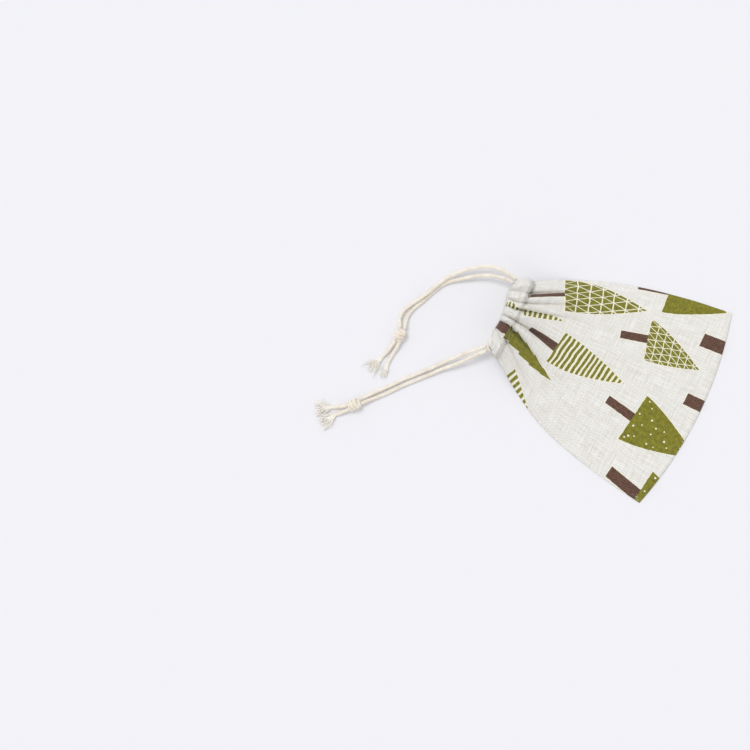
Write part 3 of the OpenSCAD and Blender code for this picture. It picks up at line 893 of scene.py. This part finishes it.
def weave(tree, uv_map):
    """Plain weave on a UV map in metres.

    Height is sin(pi u / p) sin(pi v / p), with the threads wandering by a noise. A second noise,
    stretched along each thread, makes slubs: places where the yarn is thicker or darker."""
    cloth = add(tree, "ShaderNodeUVMap", uv_map=uv_map)
    scaled = add(tree, VECTOR, [cloth, (1 / (THREAD * MM),) * 3], operation="MULTIPLY")
    wander = add(tree, NOISE, {"Vector": scaled, "Scale": 0.17, "Detail": 2.0})
    drift = add(tree, VECTOR, [wander.outputs["Color"], (1.3, 1.3, 0)], operation="MULTIPLY")
    bent = add(tree, VECTOR, [scaled, drift], operation="ADD")
    u, v, _ = add(tree, SPLIT, [bent]).outputs
    waves = []
    slubs = []
    for place, stretch in ((u, (0.9, 0.045, 1)), (v, (0.045, 0.9, 1))):
        turned = add(tree, MATH, [place, math.pi], operation="MULTIPLY")
        waves.append(add(tree, MATH, [turned], operation="SINE"))
        drawn = add(tree, VECTOR, [bent, stretch], operation="MULTIPLY")
        slubs.append(add(tree, NOISE, {"Vector": drawn, "Scale": 1.0, "Detail": 1.0}))
    over = add(tree, MATH, waves, operation="MULTIPLY")
    slub = add(tree, MATH, slubs, operation="ADD")
    return bent, over, slub


def cloth_finish(tree, shader, colour, over, slub):
    """Puts a colour on the shader, with the weave and the slubs as its bump."""
    height = add(tree, MATH, [slub, 0.7, over], operation="MULTIPLY_ADD")
    bump = add(tree, "ShaderNodeBump", {"Strength": 1.0, "Distance": FLAX_BUMP, "Height": height})
    tree.links.new(bump.outputs[0], shader.inputs["Normal"])
    tree.links.new(colour.outputs[2], shader.inputs["Base Color"])
    shader.inputs["Roughness"].default_value = 0.93
    shader.inputs["Specular IOR Level"].default_value = 0.15
    shader.inputs["Sheen Weight"].default_value = 0.12
    shader.inputs["Sheen Roughness"].default_value = 0.6


def linen_colour(tree, over, slub):
    """Undyed flax and cotton: warm off-white, greyer along thin threads, with painted shade in the gaps
    between the threads.
    """
    thin = add(tree, RANGE, [slub, 0.74, 1.2, 0.0, 1.0])
    # painted shade: where the weave is low, in the gaps between the threads, the yarn colour is mixed towards
    # grey
    gap = add(tree, RANGE, [over, -1.0, 0.4, 0.0, 1.0])
    yarn = add(tree, MIX, {0: thin, 6: ink("#EAE6DE"), 7: ink("#FFFFFB")}, data_type="RGBA")
    low = add(tree, MIX, {0: 0.7, 6: yarn, 7: ink("#CCC6BA")}, data_type="RGBA")
    return add(tree, MIX, {0: gap, 6: low, 7: yarn}, data_type="RGBA")


# %% [markdown]
# ### The ink
# The trees are screen-printed with a matt ink, which sinks into the cloth and leaves bare spots on
# the high threads. A picture could carry the print, but it would blur close up. Drawn by nodes
# from each point's place in its tree, an edge is a sign change and stays sharp at any distance.

# %% Outline of a tree
KIND_REACH = 0.3  # how near to its whole number a kind has to be


def tree_outline(tree, facts, mm):
    """How far inside its crown, and inside its trunk, a point is in mm.

    The crown narrows from its foot to its tip as w/2 (1 - (y/h)^1.3), in five steps on a
    saw-tooth tree. The trunk is a plain bar below the foot. cut is the point's place in its
    tree, made a little uneven, as if the shapes were cut by hand."""
    rough = add(tree, NOISE, {"Vector": mm, "Scale": 0.35, "Detail": 3.0})
    shift = add(tree, VECTOR, [rough.outputs["Color"], (0.5, 0.5, 0.5)], operation="SUBTRACT")
    cut = add(tree, VECTOR, [shift, (0.7, 0.7, 0), mm], operation="MULTIPLY_ADD")
    x, y, _ = add(tree, SPLIT, [cut]).outputs
    beside = add(tree, MATH, [x], operation="ABSOLUTE")

    up = add(tree, MATH, [y, facts["tree_tall"]], operation="DIVIDE")
    up = add(tree, MATH, [up, 0.0], operation="MAXIMUM")
    power = add(tree, MATH, [up, 1.3], operation="POWER")
    taper = add(tree, MATH, [1.0, power], operation="SUBTRACT")
    tier = add(tree, MATH, [add(tree, MATH, [up, 5.0], operation="MULTIPLY")], operation="FRACT")
    notch = add(tree, MATH, [tier, -0.26, 1.1], operation="MULTIPLY_ADD")
    saw = add(tree, MATH, [facts["tree_kind"], float(SAW), KIND_REACH], operation="COMPARE")
    toothed = add(tree, MIX, {0: saw, 2: 1.0, 3: notch}, data_type="FLOAT")
    half = facts["tree_wide"]
    for factor in (0.5, taper, toothed):
        half = add(tree, MATH, [half, factor], operation="MULTIPLY")
    crown = add(tree, MATH, [half, beside], operation="SUBTRACT")
    crown = add(tree, MATH, [crown, y], operation="MINIMUM")

    bar = add(tree, MATH, [facts["trunk_wide"], 0.5], operation="MULTIPLY")
    trunk = add(tree, MATH, [bar, beside], operation="SUBTRACT")
    below = add(tree, MATH, [y, -1.0], operation="MULTIPLY")
    above = add(tree, MATH, [y, facts["trunk_tall"]], operation="ADD")
    for edge in (below, above):
        trunk = add(tree, MATH, [trunk, edge], operation="MINIMUM")
    return cut, crown, trunk


# %% Patterns in the crowns
STRIPE_STEP = 3.3  # mm


def bare_patterns(tree, facts, mm, cut, crown):
    """1 where a stripe, a dot or a line of the lattice is left without ink.

    Stripes are the fraction of y over their step, dots are discs about scattered points, and
    the lattice is where the fraction of one of three sums of x and y is near a half or more.
    Stripes and lattice are drawn on lines that wander by about a millimetre."""
    drift = add(tree, NOISE, {"Vector": mm, "Scale": 0.05, "Detail": 1.0})
    drift = add(tree, VECTOR, [drift.outputs["Color"], (0.5, 0.5, 0.5)], operation="SUBTRACT")
    drawn = add(tree, VECTOR, [drift, (2.6, 3.0, 0), cut], operation="MULTIPLY_ADD")
    x, y, _ = add(tree, SPLIT, [drawn]).outputs
    kinds = {}
    row = add(tree, MATH, [add(tree, MATH, [y, 1 / STRIPE_STEP], operation="MULTIPLY")], operation="FRACT")
    kinds[STRIPED] = add(tree, MATH, [row, 0.56], operation="GREATER_THAN")

    spots = add(tree, "ShaderNodeTexVoronoi", {"Vector": mm, "Scale": 0.14, "Randomness": 0.75},
                voronoi_dimensions="2D")
    size = add(tree, MATH, [spots.outputs["Color"], 0.06, 0.055], operation="MULTIPLY_ADD")
    dots = add(tree, MATH, [spots.outputs["Distance"], size], operation="LESS_THAN")
    clear = add(tree, MATH, [crown, 1.4], operation="GREATER_THAN")
    kinds[DOTTED] = add(tree, MATH, [dots, clear], operation="MULTIPLY")

    # the lattice is drawn closer together on a smaller tree
    closer = add(tree, MATH, [50.0, facts["tree_tall"]], operation="DIVIDE")
    x, y = (add(tree, MATH, [place, closer], operation="MULTIPLY") for place in (x, y))
    lines = 0.0
    for slope_x, slope_y in ((0.0, 0.135), (0.155, 0.0675), (-0.155, 0.0675)):
        part = add(tree, MATH, [y, slope_y], operation="MULTIPLY")
        part = add(tree, MATH, [x, slope_x, part], operation="MULTIPLY_ADD")
        part = add(tree, MATH, [part], operation="FRACT")
        part = add(tree, MATH, [part, 0.5], operation="SUBTRACT")
        part = add(tree, MATH, [part], operation="ABSOLUTE")
        lines = add(tree, MATH, [lines, part], operation="MAXIMUM")
    kinds[LATTICE] = add(tree, MATH, [lines, 0.448], operation="GREATER_THAN")

    bare = 0.0
    for kind, shape in kinds.items():
        here = add(tree, MATH, [facts["tree_kind"], float(kind), KIND_REACH], operation="COMPARE")
        here = add(tree, MATH, [shape, here], operation="MULTIPLY")
        bare = add(tree, MATH, [bare, here], operation="MAXIMUM")
    return bare


# %% Ink
def inked_colour(tree, facts, bent, over, in_trunk):
    """Green or mustard leaves and brown trunks, in tones that vary over a few threads.

    Ink is thin on the high threads and worn in patches, where the cloth shows through it."""
    thin = add(tree, RANGE, [over, 0.1, 1.0, 0.0, 0.2])
    patch = add(tree, NOISE, {"Vector": bent, "Scale": 0.9, "Detail": 3.0})
    worn = add(tree, RANGE, [patch, 0.58, 0.8, 0.0, 0.3])
    through = add(tree, MATH, [thin, worn], operation="ADD")
    tone = add(tree, NOISE, {"Vector": bent, "Scale": 0.3, "Detail": 4.0})
    tone = add(tree, RANGE, [tone, 0.3, 0.7, 0.0, 1.0])
    green, mustard, brown = (
        add(tree, MIX, {0: tone, 6: ink(dark), 7: ink(light)}, data_type="RGBA")
        for dark, light in (("#68660A", "#8E8A1C"), ("#AF8F2C", "#C2A543"), ("#4E3027", "#6A463B")))
    leaf = add(tree, MIX, {0: facts["tree_ink"], 6: green, 7: mustard}, data_type="RGBA")
    inked = add(tree, MIX, {0: in_trunk, 6: leaf, 7: brown}, data_type="RGBA")
    return add(tree, MIX, {0: through, 6: inked, 7: ink("#D9D3B4")}, data_type="RGBA")


# %% Printed linen
CREAM = ink("#F6F2DA")
HALO = 0.55  # mm of cream that shows round a shape


def linen_material():
    """Plain-woven linen and cotton, washed and unpressed, screen-printed with a matt ink.

    The eye sees soft off-white threads of uneven thickness, and flat colour that is broken
    up by the weave, with a thin pale edge where the ink's cream ground shows."""
    material, tree, shader = new_material("printed_plain_weave_linen")
    bent, over, slub = weave(tree, "cloth")
    ground = linen_colour(tree, over, slub)
    place = add(tree, "ShaderNodeUVMap", uv_map="print")
    mm = add(tree, VECTOR, [place, (1 / MM,) * 3], operation="MULTIPLY")
    facts = {name: add(tree, ATTRIBUTE, attribute_name=name).outputs["Fac"] for name in TREE_FACTS}
    cut, crown, trunk = tree_outline(tree, facts, mm)
    bare = bare_patterns(tree, facts, mm, cut, crown)

    # points between two trees carry a number that isn't whole, and get no ink
    nearest = add(tree, MATH, [facts["tree_id"]], operation="ROUND")
    whole = add(tree, MATH, [facts["tree_id"], nearest, 0.004], operation="COMPARE")
    some = add(tree, MATH, [facts["tree_id"], 0.5], operation="GREATER_THAN")
    held = add(tree, MATH, [whole, some], operation="MULTIPLY")

    in_crown = add(tree, MATH, [crown, 0.0], operation="GREATER_THAN")
    in_trunk = add(tree, MATH, [trunk, 0.0], operation="GREATER_THAN")
    reach = add(tree, MATH, [crown, trunk], operation="MAXIMUM")
    halo = add(tree, MATH, [reach, -HALO], operation="GREATER_THAN")
    solid = add(tree, MATH, [in_crown, in_trunk], operation="MAXIMUM")
    uninked = add(tree, MATH, [bare, in_crown], operation="MULTIPLY")
    halo, solid, uninked = (
        add(tree, MATH, [area, held], operation="MULTIPLY") for area in (halo, solid, uninked))
    inked = inked_colour(tree, facts, bent, over, in_trunk)
    pale = add(tree, MATH, [halo, 0.75], operation="MULTIPLY")

    # the wrong side of the cloth has no print
    inside = add(tree, ATTRIBUTE, attribute_name="inside").outputs["Fac"]
    inside = add(tree, MATH, [inside, 0.02], operation="GREATER_THAN")
    colour = ground
    for area, paint in ((pale, CREAM), (solid, inked), (uninked, CREAM), (inside, ground)):
        colour = add(tree, MIX, {0: area, 6: colour, 7: paint}, data_type="RGBA")
    cloth_finish(tree, shader, colour, over, slub)
    return material


def plain_linen_material():
    """The wrong side of the same cloth, as on the seam allowances inside, with no ink on it."""
    material, tree, shader = new_material("plain_weave_linen_wrong_side")
    _, over, slub = weave(tree, "cloth")
    cloth_finish(tree, shader, linen_colour(tree, over, slub), over, slub)
    return material


linen = linen_material()
plain_linen = plain_linen_material()
print("linen", len(linen.node_tree.nodes), "nodes")

# %% [markdown]
# ### Cotton
# The cords are carded cotton, spun soft and twisted in three plies, and the sewing thread is the
# same fibre, finer and smoother. The plies are real geometry, so the material adds the fibres: a
# noise stretched along the yarn, which makes the light catch it in fine streaks, and which also
# paints shade into the furrows between the fibres.


# %% Cotton and thread
def yarn_material(name, light, dark, fibre, depth):
    """Spun cotton: fine fibres run along the yarn, so it is matt, with a soft bright edge.

    The colour goes from painted shade in the furrows between fibres to lighter on their tops, with a
    slow random tone mixed in. fibre is how many fibres there are in a millimetre across, and depth is their
    bump in metres."""
    material, tree, shader = new_material(name)
    place = add(tree, "ShaderNodeUVMap", uv_map="cord")
    drawn = add(tree, VECTOR, [place, (fibre / MM, 0.9 / MM, 1)], operation="MULTIPLY")
    hair = add(tree, NOISE, {"Vector": drawn, "Scale": 1.0, "Detail": 3.0, "Roughness": 0.6})
    spots = add(tree, "ShaderNodeTexCoord").outputs["Object"]
    cloud = add(tree, NOISE, {"Vector": spots, "Scale": 210.0, "Detail": 2.0})
    cloud = add(tree, MATH, [cloud, 0.4], operation="MULTIPLY")
    both = add(tree, MATH, [hair, 0.6, cloud], operation="MULTIPLY_ADD")
    # painted shade: the fibre noise, the same one as the bump, darkens the furrows and lightens the tops; the
    # cloud adds a random tone
    share = add(tree, RANGE, [both, 0.36, 0.6, 0.0, 1.0])
    colour = add(tree, MIX, {0: share, 6: ink(dark), 7: ink(light)}, data_type="RGBA")
    bump = add(tree, "ShaderNodeBump", {"Strength": 1.0, "Distance": depth, "Height": hair})
    tree.links.new(bump.outputs[0], shader.inputs["Normal"])
    tree.links.new(colour.outputs[2], shader.inputs["Base Color"])
    shader.inputs["Roughness"].default_value = 0.9
    shader.inputs["Specular IOR Level"].default_value = 0.15
    shader.inputs["Sheen Weight"].default_value = 0.25
    shader.inputs["Sheen Roughness"].default_value = 0.5
    return material


# the darker colour of each pair is partly painted shade in the furrows between fibres and partly a random
# tone
cotton = yarn_material("three_ply_unbleached_cotton_cord", "#FBF6EA", "#E6DAC6", 2.6, 0.00022)
frayed = yarn_material("untwisted_cotton_yarn", "#FFFDF6", "#F5EDDE", 6.0, 0.00008)
thread = yarn_material("mercerised_cotton_sewing_thread", "#F4F1E4", "#DDD8C6", 8.0, 0.00004)
for groups, material in (((panels, channels), linen), ((allowances,), plain_linen),
                         ((strands, hidden_cords, knots, tails), cotton), ((frays,), frayed),
                         ((stitches, seam_rows, tacks), thread)):
    for group in groups:
        for piece in group.values():
            piece.data.materials.append(material)
    print(material.name, "on", sum(len(group) for group in groups), "pieces")

# %% [markdown]
# ## The table and the light
# A plain, nearly white table under soft daylight that comes mostly from one side. A wide sun
# gives every place the same light, so the table stays even right to the edge of the view.

# %% Table and light
SKY = 0.73  # strength of the even light from all sides
SUN = 1.14  # strength of the light from the window
SUN_FROM = (0.324, 0.946, 1.9)  # towards the light
SUN_WIDE = math.radians(24)
REACH = 3  # metres from the middle of the table to its edge

floor_mesh = bpy.data.meshes.new("floor")
floor_corners = [(-REACH, -REACH, 0), (REACH, -REACH, 0), (REACH, REACH, 0), (-REACH, REACH, 0)]
floor_mesh.from_pydata(floor_corners, [], [(0, 1, 2, 3)])
floor = bpy.data.objects.new("floor", floor_mesh)
floor.location = (0, 0, -0.0001)  # just under the cloth, so that the two never share a plane
bpy.context.scene.collection.objects.link(floor)
# a matt laminate gives an even white with hardly any gloss
paper, _, paper_shader = new_material("matt_white_table")
paper_shader.inputs["Base Color"].default_value = ink("#EFEFF3")
paper_shader.inputs["Roughness"].default_value = 0.8
paper_shader.inputs["Specular IOR Level"].default_value = 0.1
floor_mesh.materials.append(paper)

world = bpy.data.worlds.new("soft_room")
world.use_nodes = True
world.node_tree.nodes["Background"].inputs[0].default_value = ink("#FCFCFE")
world.node_tree.nodes["Background"].inputs[1].default_value = SKY
bpy.context.scene.world = world

sun_data = bpy.data.lights.new("window_light", "SUN")
sun_data.energy = SUN
sun_data.angle = SUN_WIDE
sun = bpy.data.objects.new("window_light", sun_data)
towards = np.array(SUN_FROM) / np.linalg.norm(SUN_FROM)
sun.rotation_euler = (math.acos(towards[2]), 0, math.atan2(towards[1], towards[0]) + math.pi / 2)
bpy.context.scene.collection.objects.link(sun)
bpy.context.scene.view_settings.view_transform = "Standard"
print("sun", round(math.degrees(math.asin(towards[2]))), "degrees above the table")

# %% [markdown]
# ## How the pieces are held
# The cloth opens about its two bottom corners, but nothing here bends it: each half, its channel and
# stitching, and the cords inside keep the places they were built in. The seam allowances, their
# stitches and the slit tacks are hung from an empty for their own side.


def bend_with_side(piece):
    """Bakes the piece's place into its mesh; nothing here bends it."""
    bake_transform(piece)


for kind, group in (("panel", panels), ("channel", channels), ("channel_stitching", stitches)):
    for (face, side), piece in group.items():
        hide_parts(f"{face}_{kind}")
        bend_with_side(piece)
for (name, side), piece in hidden_cords.items():
    bend_with_side(piece)
for side in ("right", "left"):
    for piece, node, slot in ((allowances[side], "seam_allowance", "linen_wrong_side"),
                              (seam_rows[side], "seam_stitching", "sewing_thread"),
                              (tacks[side], "slit_tack", "sewing_thread")):
        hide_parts(f"{side}_{node}")
        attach(piece, side + "_side")
